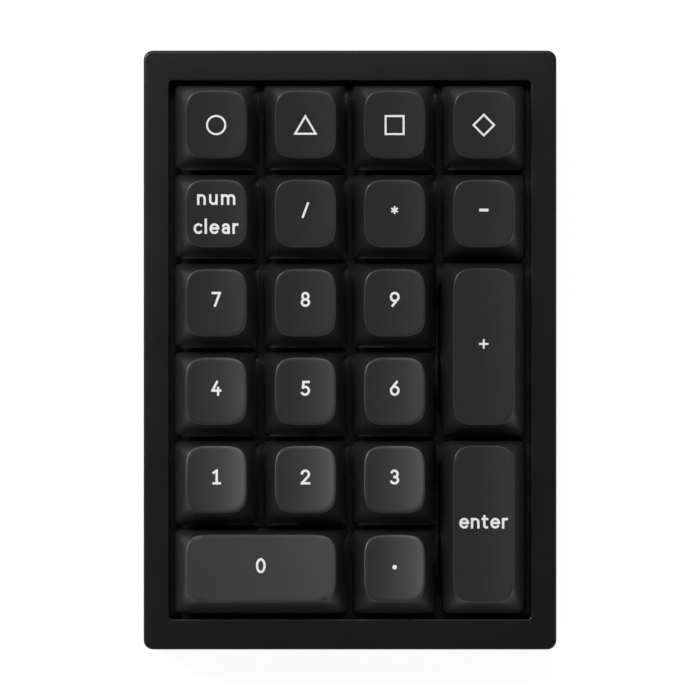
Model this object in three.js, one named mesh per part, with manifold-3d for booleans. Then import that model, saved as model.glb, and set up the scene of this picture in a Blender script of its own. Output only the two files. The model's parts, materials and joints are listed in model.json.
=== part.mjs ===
// A wired mechanical number pad with 21 keys in a wedge-shaped aluminium case.
// Millimetres, +Z up, +X to the right of the person typing, +Y towards the rear.
// Everything but the feet is built square to the key deck, whose z = 0 is the top
// of the switch plate, and the deck is then leaned back to the typing angle.

import * as THREE from 'three';
import { ConvexGeometry } from 'three/addons/geometries/ConvexGeometry.js';
import { mergeVertices } from 'three/addons/utils/BufferGeometryUtils.js';
import Module from 'manifold-3d';

const wasm = await Module();
wasm.setup();

// Key field
const PITCH = 19.05;
const COLUMNS = 4;
const ROWS = 6;
const KEY_TRAVEL = 4;
const GAP = 0.3;

// Case
const TYPING_ANGLE = THREE.MathUtils.degToRad(5.2);
const CASE_WIDTH = 88.5;
const CASE_DEPTH = 128.4;
const CASE_CORNER = 2.0;
const CASE_EDGE = 0.5;
const BEZEL_TOP = 8.3;
const FRONT_BOTTOM = -12.7;
const OPENING_WIDTH = 77.6;
const OPENING_DEPTH = 115.5;
const OPENING_CORNER = 0.8;
const LEDGE = 1.9;
const PARTING = -2.0;
const FLOOR_THICKNESS = 3;
const UPPER_CAVITY = { width: 83.6, depth: 123.4, innerWidth: 76.0, innerDepth: 115.2 };
const LOWER_CAVITY = { width: 79.0, depth: 119.0, innerWidth: 75.2, innerDepth: 114.4 };
const GASKET_HOLE = { width: 78.4, depth: 116.4, innerWidth: 73.8, innerDepth: 112.8 };
const PLATE_CLEARANCE = 0.4;

// Stack under the keys
const PLATE_THICKNESS = 1.5;
const BOARD_TOP = -5.0;
const BOARD_THICKNESS = 1.6;
const BOARD_WIDTH = 74.6;
const BOARD_DEPTH = 113.8;
const SWITCH_HOLE = 14.1;
const SWITCH_BODY = 13.5;
const SWITCH_FLANGE = 15.6;
const FLANGE_THICKNESS = 1;
const SWITCH_TOP = { width: 11, depth: 9.8, height: 6.6 };
const WELL_WIDTH = 7.2;
const WELL_DEPTH = 6.2;
const WELL_FLOOR = 1.1;

// Keycaps
const CAP_RIM = 6.2;
const CAP_BASE = 18.05;
const CAP_BASE_CORNER = 1.0;
const CAP_TOP_WIDTH = 13.0;
const CAP_TOP_DEPTH = 14.4;
const CAP_TOP_SHIFT = 0.6;
const CAP_WALL = 1.3;
const CAP_ROOF = 1.7;
const DISH_DEPTH = 0.55;
const DISH_MARGIN = 0.5;
const SQUIRCLE_POWER = 4;
const POST_RADIUS = 2.75;
const POST_BOTTOM = 9.4;
const SLIDER_WIDTH = 6.4;
const SLIDER_DEPTH = 5.0;
const SLIDER_BOTTOM = 1.0;

// Stabilisers of the double keys
const STABILISER_SPAN = 11.9;
const STABILISER_STEM = { along: 2.4, across: 3.0, bottom: 1.2, notchStart: 0.1 };
const STABILISER_SLOT = { inside: 2.3, outside: 3.7, behind: 2.5, shortOfWire: 0.8 };
const WIRE_RADIUS = 0.65;
const WIRE_ARM = 9.2;
const WIRE_PIVOT_HEIGHT = 1.1;
const WIRE_LIFT = KEY_TRAVEL / 2;
const WIRE_SIDE = STABILISER_SPAN + 2.2;

// Fastenings, feet and socket
const FOOT_RADIUS = 5;
const FOOT_HEIGHT = 1.5;
const FOOT_SINK = 0.8;
const FOOT_PLACES = [[-32, -50], [32, -50], [-32, 53], [32, 53]];
const SCREW_X = 41.0;
const SCREW_Y = 60.6;
const SCREW_SHANK = 1.2;
const SCREW_HEAD = 2.1;
const SCREW_HEAD_HEIGHT = 1.6;
const HEX_SOCKET = { radius: 0.85, depth: 0.9 };
const SCREW_SEAT = -7.6;
const SCREW_TIP = 4.0;
const SOCKET = { width: 8.94, height: 3.2, corner: 1.2, length: 7.6, face: 61.6, level: -8.5 };
const SOCKET_MOUTH = { width: 8.3, height: 2.5, corner: 1.0, depth: 6.2 };
const SOCKET_TONGUE = { width: 6.7, height: 0.7, corner: 0.2, root: 0.5, setback: 0.8 };
const PLUG_RECESS = { width: 13, height: 7, floor: 61.0 };

// Row sculpting: height of the middle of the cap's top above its rim, and the lean
// of the top, positive where it faces the person typing.
const ROW_TOPS = [
  { height: 10.2, lean: 6 },
  { height: 9.8, lean: 5 },
  { height: 9.2, lean: 2.5 },
  { height: 9.0, lean: -1 },
  { height: 9.2, lean: -4 },
  { height: 9.4, lean: -5 },
];
const ADD_TOP = { height: 9.5, lean: 4 };
const ENTER_TOP = { height: 9.2, lean: 1.5 };

// column and row are counted from the rear left corner of the key field.
const KEYS = [
  { name: 'circle', column: 0, row: 0 },
  { name: 'triangle', column: 1, row: 0 },
  { name: 'square', column: 2, row: 0 },
  { name: 'diamond', column: 3, row: 0 },
  { name: 'num_clear', column: 0, row: 1 },
  { name: 'divide', column: 1, row: 1 },
  { name: 'multiply', column: 2, row: 1 },
  { name: 'subtract', column: 3, row: 1 },
  { name: '7', column: 0, row: 2 },
  { name: '8', column: 1, row: 2 },
  { name: '9', column: 2, row: 2 },
  { name: 'add', column: 3, row: 2, rowSpan: 2, top: ADD_TOP },
  { name: '4', column: 0, row: 3 },
  { name: '5', column: 1, row: 3 },
  { name: '6', column: 2, row: 3 },
  { name: '1', column: 0, row: 4 },
  { name: '2', column: 1, row: 4 },
  { name: '3', column: 2, row: 4 },
  { name: 'enter', column: 3, row: 4, rowSpan: 2, top: ENTER_TOP },
  { name: '0', column: 0, row: 5, columnSpan: 2 },
  { name: 'point', column: 2, row: 5 },
];

// Where the deck stands: the front lower edge of the case is one foot height up.
const DECK_LIFT = FOOT_HEIGHT
  + (CASE_DEPTH / 2) * Math.sin(TYPING_ANGLE) - FRONT_BOTTOM * Math.cos(TYPING_ANGLE);
const deckToDesk = new THREE.Matrix4().makeRotationX(TYPING_ANGLE).setPosition(0, 0, DECK_LIFT);
const deskToDeck = deckToDesk.clone().invert();
const FAR = 60;

const anodised = finish(0x26262a, 0.45, 0.6);
const capPlastic = finish(0x2b2b2d, 0.6, 0);
const housingPlastic = finish(0xd9d6cc, 0.35, 0);
const plateSteel = finish(0x2a2a2c, 0.5, 0.5);
const boardLaminate = finish(0x14201a, 0.5, 0);
const foam = finish(0x1b1b1c, 0.95, 0);
const rubber = finish(0x17171a, 0.85, 0);
const steel = finish(0x9a9ca0, 0.35, 1);

function finish(color, roughness, metalness) {
  return new THREE.MeshStandardMaterial({ color, roughness, metalness });
}

// A closed geometry as a solid that can be joined and cut.
function solidOf(geometry) {
  const bare = geometry.clone();
  bare.deleteAttribute('normal');
  bare.deleteAttribute('uv');
  const welded = mergeVertices(bare, 1e-4);
  return new wasm.Manifold(new wasm.Mesh({
    numProp: 3,
    vertProperties: new Float32Array(welded.attributes.position.array),
    triVerts: new Uint32Array(welded.index.array),
  }));
}

function meshOf(name, solid, material) {
  const cut = solid.getMesh();
  const geometry = new THREE.BufferGeometry();
  geometry.setAttribute('position', new THREE.BufferAttribute(new Float32Array(cut.vertProperties), 3));
  geometry.setIndex(new THREE.BufferAttribute(new Uint32Array(cut.triVerts), 1));
  geometry.computeVertexNormals();
  const mesh = new THREE.Mesh(geometry, material);
  mesh.name = name;
  return mesh;
}

function union(solids) {
  return solids.reduce((sum, solid) => sum.add(solid));
}

function span(a, b) {
  return [Math.min(a, b), Math.max(a, b)];
}

// An upright block over x0..x1, y0..y1 and z0..z1.
function block([x0, x1], [y0, y1], [z0, z1]) {
  const geometry = new THREE.BoxGeometry(x1 - x0, y1 - y0, z1 - z0);
  geometry.translate((x0 + x1) / 2, (y0 + y1) / 2, (z0 + z1) / 2);
  return solidOf(geometry);
}

// A block centred on x and y.
function centredBlock(width, depth, [z0, z1], x = 0, y = 0) {
  return block([x - width / 2, x + width / 2], [y - depth / 2, y + depth / 2], [z0, z1]);
}

// An upright round bar.
function bar(radius, [z0, z1], x, y, sides) {
  const geometry = new THREE.CylinderGeometry(radius, radius, z1 - z0, sides);
  geometry.rotateX(Math.PI / 2);
  geometry.translate(x, y, (z0 + z1) / 2);
  return solidOf(geometry);
}

function prism(shape, [z0, z1], options = {}) {
  const geometry = new THREE.ExtrudeGeometry(shape, { depth: z1 - z0, bevelEnabled: false, ...options });
  geometry.translate(0, 0, z0);
  return solidOf(geometry);
}

function roundedRectangle(width, depth, radius) {
  const x = width / 2;
  const y = depth / 2;
  const shape = new THREE.Shape();
  shape.absarc(x - radius, y - radius, radius, 0, Math.PI / 2);
  shape.absarc(-x + radius, y - radius, radius, Math.PI / 2, Math.PI);
  shape.absarc(-x + radius, -y + radius, radius, Math.PI, 1.5 * Math.PI);
  shape.absarc(x - radius, -y + radius, radius, 1.5 * Math.PI, 2 * Math.PI);
  return shape;
}

// A rectangle whose four corners step in to innerWidth and innerDepth, which leaves
// room for the screw bosses.
function steppedRectangle({ width, depth, innerWidth, innerDepth }, clearance = 0) {
  const x = width / 2 - clearance;
  const y = depth / 2 - clearance;
  const u = innerWidth / 2 - clearance;
  const v = innerDepth / 2 - clearance;
  const corners = [[u, -y], [u, -v], [x, -v], [x, v], [u, v], [u, y]];
  const mirrored = corners.map(([a, b]) => [-a, -b]);
  return new THREE.Shape([...corners, ...mirrored].map(([a, b]) => new THREE.Vector2(a, b)));
}

function convexSolid(points) {
  return solidOf(new ConvexGeometry(points));
}

// Key centre on the deck, and how many pitches the key is wide and deep.
function keyPlace(key) {
  const wide = key.columnSpan ?? 1;
  const deep = key.rowSpan ?? 1;
  return {
    x: (key.column + wide / 2 - COLUMNS / 2) * PITCH,
    y: (ROWS / 2 - key.row - deep / 2) * PITCH,
    extraWidth: (wide - 1) * PITCH,
    extraDepth: (deep - 1) * PITCH,
  };
}

function isDouble(key) {
  return (key.columnSpan ?? 1) * (key.rowSpan ?? 1) > 1;
}

// A ring of points on the cap's squircle outline, drawn in by inset. rise gives z.
function squircleRing({ extraWidth, extraDepth }, inset, count, rise) {
  const halfWidth = CAP_TOP_WIDTH / 2 - inset;
  const halfDepth = CAP_TOP_DEPTH / 2 - inset;
  return Array.from({ length: count }, (_, i) => {
    const turn = ((i + 0.5) / count) * 2 * Math.PI;
    const c = Math.cos(turn);
    const s = Math.sin(turn);
    const x = Math.sign(c) * (halfWidth * Math.abs(c) ** (2 / SQUIRCLE_POWER) + extraWidth / 2);
    const y = Math.sign(s) * (halfDepth * Math.abs(s) ** (2 / SQUIRCLE_POWER) + extraDepth / 2);
    return new THREE.Vector3(x, y + CAP_TOP_SHIFT, rise(y));
  });
}

// A ring of points on the cap's almost square rim, drawn in by inset.
function rimRing({ extraWidth, extraDepth }, inset, z) {
  const width = CAP_BASE + extraWidth - 2 * inset;
  const depth = CAP_BASE + extraDepth - 2 * inset;
  const outline = roundedRectangle(width, depth, CAP_BASE_CORNER).getPoints(1);
  return outline.map((p) => new THREE.Vector3(p.x, p.y, z));
}

// The trough that the fingertip rests in: a shallow round channel from rear to front.
function dishCutter({ extraWidth, extraDepth }, top, lean) {
  const half = (CAP_TOP_WIDTH + extraWidth) / 2 + DISH_MARGIN;
  const radius = (half * half + DISH_DEPTH * DISH_DEPTH) / (2 * DISH_DEPTH);
  const swing = Math.asin(half / radius);
  const section = new THREE.Shape();
  section.absarc(0, radius - DISH_DEPTH, radius, -Math.PI / 2 - swing, -Math.PI / 2 + swing);
  const above = 3;
  section.lineTo(half, above);
  section.lineTo(-half, above);
  const length = 2 * (CAP_TOP_DEPTH + extraDepth);
  const geometry = new THREE.ExtrudeGeometry(section, {
    depth: length,
    bevelEnabled: false,
    curveSegments: 3,
  });
  geometry.translate(0, 0, -length / 2);
  geometry.rotateX(Math.PI / 2 + lean);
  geometry.translate(0, CAP_TOP_SHIFT, top);
  return solidOf(geometry);
}

// The stem by which a double key drives its stabiliser wire, with the open notch
// that the wire's hook lies in. side is -1 or 1, along the key.
function stabiliserStem(key, side, roof) {
  const { along, across, bottom, notchStart } = STABILISER_STEM;
  const middle = side * STABILISER_SPAN;
  const outer = middle + side * (along / 2 + 1);
  const notchInner = middle + side * notchStart;
  const hookHeight = WIRE_PIVOT_HEIGHT + WIRE_LIFT;
  const reach = WIRE_RADIUS + GAP + 0.1;
  const stemAlong = [middle - along / 2, middle + along / 2];
  const notchAlong = span(outer, notchInner);
  const notchHeight = [hookHeight - reach, hookHeight + reach];
  const stem = blockAlong(key, stemAlong, [-across / 2, across / 2], [bottom, roof]);
  return stem.subtract(blockAlong(key, notchAlong, [-across, across], notchHeight));
}

// A block given along and across a double key, whichever way that key lies.
function blockAlong(key, along, across, heights) {
  return key.columnSpan ? block(along, across, heights) : block(across, along, heights);
}

// Cap, mounting post and the switch slider that it is pressed on, in one.
function keycap(key) {
  const place = keyPlace(key);
  const { height, lean } = key.top ?? ROW_TOPS[key.row];
  const slope = Math.tan(THREE.MathUtils.degToRad(lean));
  const top = CAP_RIM + height;
  const outer = convexSolid([
    ...rimRing(place, 0, CAP_RIM),
    ...squircleRing(place, 0, 16, (y) => top + slope * y),
  ]);
  const hollow = convexSolid([
    ...rimRing(place, CAP_WALL, CAP_RIM - 0.1),
    ...squircleRing(place, CAP_WALL, 8, (y) => top - CAP_ROOF - DISH_DEPTH + slope * y),
  ]);
  const roof = top - DISH_DEPTH - CAP_ROOF / 2;
  const pieces = [
    outer.subtract(hollow).subtract(dishCutter(place, top, Math.atan(slope))),
    bar(POST_RADIUS, [POST_BOTTOM - 0.1, roof], 0, 0, 8),
    centredBlock(SLIDER_WIDTH, SLIDER_DEPTH, [SLIDER_BOTTOM, POST_BOTTOM]),
  ];
  if (isDouble(key)) {
    // A deep key's top leans along the key, so its two stems end at different heights.
    const rise = key.columnSpan ? 0 : STABILISER_SPAN * slope;
    pieces.push(stabiliserStem(key, -1, roof - rise), stabiliserStem(key, 1, roof + rise));
  }
  const mesh = meshOf(`keycap_${key.name}`, union(pieces), capPlastic);
  mesh.position.set(place.x, place.y, 0);
  return mesh;
}

// Square ring of points for the tapered upper housing.
function squareRing(width, depth, z) {
  return [[-1, -1], [1, -1], [1, 1], [-1, 1]]
    .map(([a, b]) => new THREE.Vector3((a * width) / 2, (b * depth) / 2, z));
}

// Switch housing: body through the plate, flange on it, tapered top, slider well.
function switchHousing(key) {
  const place = keyPlace(key);
  const flangeTop = GAP + FLANGE_THICKNESS;
  const bottom = BOARD_TOP + GAP;
  const housing = union([
    centredBlock(SWITCH_BODY, SWITCH_BODY, [bottom, GAP + 0.1]),
    centredBlock(SWITCH_FLANGE, SWITCH_FLANGE, [GAP, flangeTop]),
    convexSolid([
      ...squareRing(SWITCH_BODY, SWITCH_BODY, flangeTop - 0.1),
      ...squareRing(SWITCH_TOP.width, SWITCH_TOP.depth, SWITCH_TOP.height),
    ]),
  ]);
  const well = centredBlock(WELL_WIDTH, WELL_DEPTH, [bottom + WELL_FLOOR, SWITCH_TOP.height + 1]);
  const mesh = meshOf(`switch_${key.name}`, housing.subtract(well), housingPlastic);
  mesh.position.set(place.x, place.y, 0);
  return mesh;
}

// Square holes for the switches and slots for the stabilisers, over the given heights.
function keyHoles(heights) {
  const holes = [];
  for (const key of KEYS) {
    const { x, y } = keyPlace(key);
    holes.push(centredBlock(SWITCH_HOLE, SWITCH_HOLE, heights, x, y));
    if (isDouble(key)) {
      const [middle, beside] = key.columnSpan ? [x, y] : [y, x];
      const towardsWire = key.columnSpan ? 1 : -1;
      const across = span(
        beside - towardsWire * STABILISER_SLOT.behind,
        beside + towardsWire * (WIRE_ARM - STABILISER_SLOT.shortOfWire),
      );
      for (const side of [-1, 1]) {
        const along = span(
          middle + side * (STABILISER_SPAN - STABILISER_SLOT.inside),
          middle + side * (STABILISER_SPAN + STABILISER_SLOT.outside),
        );
        holes.push(blockAlong(key, along, across, heights));
      }
    }
  }
  return union(holes);
}

function switchPlate() {
  const sheet = prism(steppedRectangle(UPPER_CAVITY, PLATE_CLEARANCE), [-PLATE_THICKNESS, 0]);
  return meshOf('switch_plate', sheet.subtract(keyHoles([-PLATE_THICKNESS - 1, 1])), plateSteel);
}

function plateFoam() {
  const heights = [BOARD_TOP + GAP + 0.1, -PLATE_THICKNESS - GAP];
  const sheet = centredBlock(BOARD_WIDTH, BOARD_DEPTH, heights);
  return meshOf('plate_foam', sheet.subtract(keyHoles([BOARD_TOP, 0])), foam);
}

function circuitBoard() {
  const board = centredBlock(BOARD_WIDTH, BOARD_DEPTH, [BOARD_TOP - BOARD_THICKNESS, BOARD_TOP]);
  return meshOf('circuit_board', board, boardLaminate);
}

// Soft ring between the plate and the ledge of the top case.
function plateGasket() {
  const heights = [GAP, LEDGE - GAP];
  const ring = prism(steppedRectangle(UPPER_CAVITY, PLATE_CLEARANCE), heights)
    .subtract(prism(steppedRectangle(GASKET_HOLE), [heights[0] - 1, heights[1] + 1]));
  return meshOf('plate_gasket', ring, foam);
}

// The outer form shared by both case halves, upright on the deck, with a small
// chamfer round the top edge.
function caseForm() {
  const outline = roundedRectangle(CASE_WIDTH, CASE_DEPTH, CASE_CORNER);
  return prism(outline, [-FAR, BEZEL_TOP - CASE_EDGE], {
    bevelEnabled: true,
    bevelSegments: 1,
    bevelSize: CASE_EDGE,
    bevelThickness: CASE_EDGE,
    bevelOffset: -CASE_EDGE,
    curveSegments: 3,
  });
}

function screwBores(radius, heights) {
  const bores = [];
  for (const x of [-SCREW_X, SCREW_X]) {
    for (const y of [-SCREW_Y, SCREW_Y]) {
      bores.push(bar(radius, heights, x, y, 10));
    }
  }
  return union(bores);
}

function topCase() {
  const opening = roundedRectangle(OPENING_WIDTH, OPENING_DEPTH, OPENING_CORNER);
  const frame = caseForm()
    .subtract(centredBlock(2 * FAR, 3 * FAR, [-2 * FAR, PARTING + GAP / 2]))
    .subtract(prism(opening, [PARTING - 1, BEZEL_TOP + 1], { curveSegments: 2 }))
    .subtract(prism(steppedRectangle(UPPER_CAVITY), [PARTING - 1, LEDGE]))
    .subtract(screwBores(SCREW_SHANK + GAP, [PARTING - 1, SCREW_TIP + 0.5]));
  return meshOf('top_case', frame, anodised);
}

// A block given in the desk's level frame, turned to suit solids built on the deck.
function deskBlock(heights) {
  const geometry = new THREE.BoxGeometry(3 * FAR, 4 * FAR, heights[1] - heights[0]);
  geometry.translate(0, 0, (heights[0] + heights[1]) / 2);
  geometry.applyMatrix4(deskToDeck);
  return solidOf(geometry);
}

function footRecesses() {
  return union(FOOT_PLACES.map(([x, y]) => {
    const depth = 2 * FOOT_SINK;
    const geometry = new THREE.CylinderGeometry(FOOT_RADIUS + GAP, FOOT_RADIUS + GAP, depth, 18);
    geometry.rotateX(Math.PI / 2);
    geometry.translate(x, y, FOOT_HEIGHT);
    geometry.applyMatrix4(deskToDeck);
    return solidOf(geometry);
  }));
}

// An outline in the rear wall's plane, run from y0 to y1 through the wall.
function throughRearWall(shape, [y0, y1]) {
  const geometry = new THREE.ExtrudeGeometry(shape, {
    depth: y1 - y0,
    bevelEnabled: false,
    curveSegments: 4,
  });
  geometry.rotateX(Math.PI / 2);
  geometry.translate(0, y1, SOCKET.level);
  return solidOf(geometry);
}

function bottomCase() {
  const floorTop = FOOT_HEIGHT + FLOOR_THICKNESS;
  const cavity = prism(steppedRectangle(LOWER_CAVITY), [-FAR, 0])
    .subtract(deskBlock([-2 * FAR, floorTop]));
  const socketHole = roundedRectangle(SOCKET.width + 2 * GAP, SOCKET.height + 2 * GAP, SOCKET.corner + GAP);
  const recess = roundedRectangle(PLUG_RECESS.width, PLUG_RECESS.height, PLUG_RECESS.height / 2 - 0.01);
  const tray = caseForm()
    .subtract(centredBlock(2 * FAR, 3 * FAR, [PARTING - GAP / 2, FAR]))
    .subtract(deskBlock([-3 * FAR, FOOT_HEIGHT]))
    .subtract(cavity)
    .subtract(footRecesses())
    .subtract(screwBores(SCREW_SHANK + GAP, [SCREW_SEAT - 1, 0]))
    .subtract(screwBores(SCREW_HEAD + GAP, [-FAR, SCREW_SEAT]))
    .subtract(throughRearWall(socketHole, [LOWER_CAVITY.depth / 2 - 1, PLUG_RECESS.floor + 1]))
    .subtract(throughRearWall(recess, [PLUG_RECESS.floor, CASE_DEPTH / 2 + 1]));
  return meshOf('bottom_case', tray, anodised);
}

// Socket-head screw, head down, driven up through the bottom case.
function caseScrew(name, x, y) {
  const headTop = SCREW_SEAT - GAP;
  const headBottom = headTop - SCREW_HEAD_HEIGHT;
  const screw = union([
    bar(SCREW_SHANK, [headTop - 0.1, SCREW_TIP], 0, 0, 8),
    bar(SCREW_HEAD, [headBottom, headTop], 0, 0, 12),
  ]);
  const hexSocket = bar(HEX_SOCKET.radius, [headBottom - 1, headBottom + HEX_SOCKET.depth], 0, 0, 6);
  const mesh = meshOf(name, screw.subtract(hexSocket), steel);
  mesh.position.set(x, y, 0);
  return mesh;
}

// Plug socket: a thin shell with a tongue standing in its mouth.
function usbSocket() {
  const { width, height, corner, length, face } = SOCKET;
  const shell = throughRearWall(roundedRectangle(width, height, corner), [face - length, face]);
  const mouth = throughRearWall(
    roundedRectangle(SOCKET_MOUTH.width, SOCKET_MOUTH.height, SOCKET_MOUTH.corner),
    [face - SOCKET_MOUTH.depth, face + 1],
  );
  const tongue = throughRearWall(
    roundedRectangle(SOCKET_TONGUE.width, SOCKET_TONGUE.height, SOCKET_TONGUE.corner),
    [face - length + SOCKET_TONGUE.root, face - SOCKET_TONGUE.setback],
  );
  return meshOf('usb_c_port', shell.subtract(mouth).add(tongue), steel);
}

// A length of wire from one point to another.
function wireRun(from, to) {
  const run = new THREE.Vector3().subVectors(to, from);
  const geometry = new THREE.CylinderGeometry(WIRE_RADIUS, WIRE_RADIUS, run.length(), 6);
  geometry.applyQuaternion(new THREE.Quaternion()
    .setFromUnitVectors(new THREE.Vector3(0, 1, 0), run.clone().normalize()));
  const middle = from.clone().add(to).multiplyScalar(0.5);
  geometry.translate(middle.x, middle.y, middle.z);
  return solidOf(geometry);
}

// Bent wire that keeps a double key level: a long bar that turns in its clips, two
// arms, and a hook at the end of each. The bar lies behind a wide key, left of a deep one.
function stabiliserWire(key) {
  const { x, y } = keyPlace(key);
  const armRun = Math.sqrt(WIRE_ARM ** 2 - WIRE_LIFT ** 2);
  const at = (along, across, up) => (key.columnSpan
    ? new THREE.Vector3(along, across, WIRE_PIVOT_HEIGHT + up)
    : new THREE.Vector3(-across, along, WIRE_PIVOT_HEIGHT + up));
  const overlap = 0.5;
  const runs = [wireRun(at(-WIRE_SIDE - overlap, armRun, 0), at(WIRE_SIDE + overlap, armRun, 0))];
  for (const side of [-1, 1]) {
    const corner = at(side * WIRE_SIDE, armRun, 0);
    const elbow = at(side * WIRE_SIDE, 0, WIRE_LIFT);
    const hook = at(side * (STABILISER_SPAN + 0.5), 0, WIRE_LIFT);
    runs.push(wireRun(corner, elbow), wireRun(at(side * (WIRE_SIDE + overlap), 0, WIRE_LIFT), hook));
  }
  const mesh = meshOf(`stabiliser_wire_${key.name}`, union(runs), steel);
  mesh.position.set(x, y, 0);
  return mesh;
}

function foot(name, [x, y]) {
  const height = FOOT_HEIGHT + FOOT_SINK - GAP;
  const geometry = new THREE.CylinderGeometry(FOOT_RADIUS, FOOT_RADIUS, height, 18);
  geometry.rotateX(Math.PI / 2);
  const mesh = new THREE.Mesh(geometry, rubber);
  mesh.name = name;
  mesh.position.set(x, y, height / 2);
  return mesh;
}

const deck = new THREE.Group();
deck.applyMatrix4(deckToDesk);
deck.add(topCase(), bottomCase(), switchPlate(), plateFoam(), plateGasket(), circuitBoard(), usbSocket());
for (const key of KEYS) {
  deck.add(switchHousing(key), keycap(key));
}
for (const key of KEYS.filter(isDouble)) {
  deck.add(stabiliserWire(key));
}
const CORNER_NAMES = ['front_left', 'front_right', 'rear_left', 'rear_right'];
for (const name of CORNER_NAMES) {
  const x = name.endsWith('left') ? -SCREW_X : SCREW_X;
  const y = name.startsWith('front') ? -SCREW_Y : SCREW_Y;
  deck.add(caseScrew(`case_screw_${name}`, x, y));
}

const keypad = new THREE.Group();
keypad.add(deck);
CORNER_NAMES.forEach((name, i) => keypad.add(foot(`foot_${name}`, FOOT_PLACES[i])));

// The origin is the middle of the footprint, on the desk.
keypad.updateMatrixWorld(true);
const bounds = new THREE.Box3().setFromObject(keypad, true);
keypad.position.set(0, -(bounds.min.y + bounds.max.y) / 2, 0);

export default keypad;
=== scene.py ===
import bmesh
import bpy
import json
import math
from mathutils import Matrix, Vector


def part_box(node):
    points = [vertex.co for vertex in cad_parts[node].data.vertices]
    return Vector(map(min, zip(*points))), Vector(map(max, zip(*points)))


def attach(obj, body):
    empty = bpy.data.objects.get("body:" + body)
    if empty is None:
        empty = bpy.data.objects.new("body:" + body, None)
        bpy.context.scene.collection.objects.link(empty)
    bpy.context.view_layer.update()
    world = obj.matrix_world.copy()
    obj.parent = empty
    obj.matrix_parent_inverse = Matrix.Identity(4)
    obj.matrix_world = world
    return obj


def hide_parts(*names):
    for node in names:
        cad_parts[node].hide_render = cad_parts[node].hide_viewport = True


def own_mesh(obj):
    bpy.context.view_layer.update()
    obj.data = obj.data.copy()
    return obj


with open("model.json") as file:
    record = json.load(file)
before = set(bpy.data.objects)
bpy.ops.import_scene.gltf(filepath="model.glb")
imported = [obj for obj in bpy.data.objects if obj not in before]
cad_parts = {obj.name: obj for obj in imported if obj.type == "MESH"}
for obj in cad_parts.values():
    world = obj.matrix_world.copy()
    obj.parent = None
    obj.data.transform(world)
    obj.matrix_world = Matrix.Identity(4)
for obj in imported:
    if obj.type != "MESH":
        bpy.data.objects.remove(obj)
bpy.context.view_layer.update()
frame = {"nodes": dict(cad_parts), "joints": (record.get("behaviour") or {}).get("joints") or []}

# ---------------------------------------------------------------------------
# The key deck. Plate, switches, caps and both case halves are square to it, and
# it leans back to the typing angle. Its origin is the middle of the top face of
# the switch plate, x to the right, y to the rear, z out of the keys, in mm.
# ---------------------------------------------------------------------------
MM = 0.001
PITCH = 19.05
PLATE_THICKNESS = 1.5
press_axis = next(Vector(j["axis"]) for j in frame["joints"] if j["name"] == "press_5")
plate_low, plate_high = (Vector(corner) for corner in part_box("switch_plate"))
lean_back = math.atan2(press_axis.y, -press_axis.z)
deck_origin = (plate_low + plate_high) / 2 - press_axis * (PLATE_THICKNESS / 2) * MM
DECK = Matrix.Translation(deck_origin) @ Matrix.Rotation(lean_back, 4, "X") @ Matrix.Scale(MM, 4)
TO_DECK = DECK.inverted()


def deck_box(node):
    """Lowest and highest corner of a CAD node, measured square to the deck, in mm."""
    points = [TO_DECK @ v.co for v in frame["nodes"][node].data.vertices]
    low = Vector([min(p[i] for p in points) for i in range(3)])
    high = Vector([max(p[i] for p in points) for i in range(3)])
    return low, high


def deck_at(x, y, z=0.0):
    """The deck's frame with its origin moved, such as to the middle of a key."""
    return DECK @ Matrix.Translation((x, y, z))


case_low, case_high = deck_box("top_case")
CASE_WIDTH = case_high.x - case_low.x
CASE_DEPTH = case_high.y - case_low.y
BEZEL_TOP = case_high.z

# ---------------------------------------------------------------------------
# Camera: a long lens looking straight down on the key deck, the pad upright.
# ---------------------------------------------------------------------------
VIEW_WIDTH = 150.0
LENS = 500.0
SENSOR = 36.0
camera_data = bpy.data.cameras.new("camera")
camera_data.lens = LENS
camera_data.sensor_width = SENSOR
camera_data.clip_end = 50
camera = bpy.data.objects.new("camera", camera_data)
bpy.context.scene.collection.objects.link(camera)
camera_height = VIEW_WIDTH * LENS / SENSOR + BEZEL_TOP
camera.matrix_world = (Matrix.Translation(DECK @ Vector((0, 0, camera_height)))
                       @ Matrix.Rotation(lean_back, 4, "X"))
bpy.context.scene.camera = camera

# ---------------------------------------------------------------------------
# Bottom case: a wedge-shaped tray, milled from aluminium, bead-blasted and
# anodised black. Its underside is level; four screws pull it to the top case.
# ---------------------------------------------------------------------------
CASE_CORNER = 2.0
CORNER_STEPS = 8
CASE_EDGE = 0.5
SEAM = 0.15
PARTING = deck_box("bottom_case")[1].z + SEAM
FOOT_LIFT = 1.5
FLOOR = 3.0
TRAY_WALL = 4.7


def rounded_outline(width, depth, radius, corner_steps=CORNER_STEPS, side_steps=1):
    """Points round a rectangle with round corners, anticlockwise from the right side."""
    points = []
    x, y = width / 2 - radius, depth / 2 - radius
    corners = [(x, y), (-x, y), (-x, -y), (x, -y)]
    for turn, (cx, cy) in enumerate(corners):
        angles = [math.radians(90 * (turn + i / corner_steps)) for i in range(corner_steps + 1)]
        points += [(cx + radius * math.cos(a), cy + radius * math.sin(a)) for a in angles]
        nx, ny = corners[(turn + 1) % 4]
        last_x, last_y = points[-1]
        for i in range(1, side_steps):
            points.append((last_x + (nx - cx) * i / side_steps, last_y + (ny - cy) * i / side_steps))
    return points


def circle(radius, x=0.0, y=0.0, steps=32):
    turns = [2 * math.pi * i / steps for i in range(steps)]
    return [(x + radius * math.cos(a), y + radius * math.sin(a)) for a in turns]


def at_height(outline, z):
    """Points of an outline at one height, or at a height worked out from each x and y."""
    return [(x, y, z(x, y) if callable(z) else z) for x, y in outline]


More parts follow.
